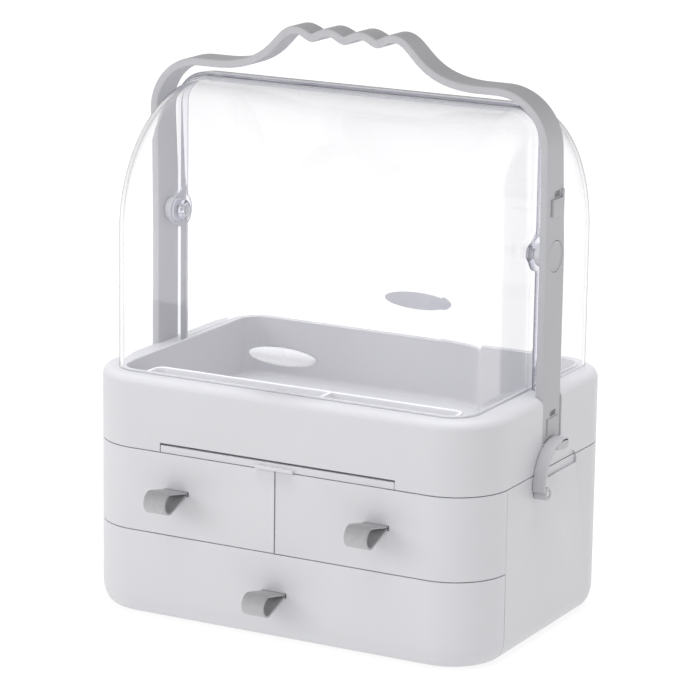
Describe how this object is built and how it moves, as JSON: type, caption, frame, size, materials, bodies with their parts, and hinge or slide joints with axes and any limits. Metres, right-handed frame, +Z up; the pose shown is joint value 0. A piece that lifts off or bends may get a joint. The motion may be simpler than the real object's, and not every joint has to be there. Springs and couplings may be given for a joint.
{
  "type": "makeup organizer with drawers and a clear domed cover",
  "caption": "Carry-handled vanity organizer: wrapped drawers, a divided tray and a slide-out mirror board under a hinged clear dome made of nested covers.",
  "frame": {"origin": "on the surface that the feet stand on, under the middle of the bounding box, pull loops included", "axes": "+Z up, +X to the right along the front face as seen by a person in front of it, +Y to the back; the drawers open towards -Y"},
  "size_m": [0.3076, 0.2264, 0.3823],
  "materials": {
    "shell_white": "satin",
    "inner_white": "smooth",
    "handle_grey": "satin",
    "strap_grey": "matte",
    "clear_plastic": "clear, polished",
    "frosted_plastic": "frosted",
    "mirror_silver": "polished",
    "steel": "plain",
    "rubber_grey": "matte"
  },
  "bodies": {
    "casing": {"base_casing": "shell_white", "middle_shelf": "inner_white", "centre_partition": "inner_white", "front_left_foot": "rubber_grey", "front_right_foot": "rubber_grey", "rear_left_foot": "rubber_grey", "rear_right_foot": "rubber_grey", "top_tray": "shell_white", "tray_divider": "inner_white", "handle": "handle_grey", "left_leg_screw_lower": "steel", "left_leg_screw_upper": "steel", "right_leg_screw_lower": "steel", "right_leg_screw_upper": "steel", "left_pivot_pin": "handle_grey", "right_pivot_pin": "handle_grey", "left_pivot_spacer": "handle_grey", "right_pivot_spacer": "handle_grey", "left_pivot_cap": "clear_plastic", "right_pivot_cap": "clear_plastic", "left_latch_pin": "steel", "right_latch_pin": "steel"},
    "lower_drawer": {"lower_drawer_front": "shell_white", "lower_drawer_box": "inner_white", "lower_drawer_pull": "strap_grey", "lower_drawer_pull_anchor": "inner_white"},
    "left_drawer": {"left_drawer_front": "shell_white", "left_drawer_box": "inner_white", "left_drawer_pull": "strap_grey", "left_drawer_pull_anchor": "inner_white"},
    "right_drawer": {"right_drawer_front": "shell_white", "right_drawer_box": "inner_white", "right_drawer_pull": "strap_grey", "right_drawer_pull_anchor": "inner_white"},
    "mirror_slide": {"mirror_board": "shell_white", "mirror_glass": "mirror_silver"},
    "front_cover": {"front_cover": "clear_plastic", "front_cover_grip": "frosted_plastic"},
    "rear_cover": {"rear_cover": "clear_plastic", "rear_cover_grip": "frosted_plastic"},
    "left_latch": {"left_latch_lever": "handle_grey"},
    "right_latch": {"right_latch_lever": "handle_grey"}
  },
  "joints": [
    {"name": "lower_drawer_slide", "type": "slide", "parent": "casing", "child": "lower_drawer", "axis": [0, -1, 0], "range_m": [0, 0.13]},
    {"name": "left_drawer_slide", "type": "slide", "parent": "casing", "child": "left_drawer", "axis": [0, -1, 0], "range_m": [0, 0.13]},
    {"name": "right_drawer_slide", "type": "slide", "parent": "casing", "child": "right_drawer", "axis": [0, -1, 0], "range_m": [0, 0.13]},
    {"name": "mirror_board_slide", "type": "slide", "parent": "casing", "child": "mirror_slide", "axis": [0, -1, 0], "range_m": [0, 0.11]},
    {"name": "front_cover_hinge", "type": "hinge", "parent": "casing", "child": "front_cover", "pos_m": [0, 0.014, 0.25], "axis": [1, 0, 0], "range_deg": [-90, 0]},
    {"name": "rear_cover_hinge", "type": "hinge", "parent": "casing", "child": "rear_cover", "pos_m": [0, 0.014, 0.25], "axis": [1, 0, 0], "range_deg": [0, 90]},
    {"name": "left_latch_hinge", "type": "hinge", "parent": "casing", "child": "left_latch", "pos_m": [-0.149, -0.0065, 0.1015], "axis": [1, 0, 0], "range_deg": [0, 60]},
    {"name": "right_latch_hinge", "type": "hinge", "parent": "casing", "child": "right_latch", "pos_m": [0.149, -0.0065, 0.1015], "axis": [1, 0, 0], "range_deg": [0, 60]}
  ]
}
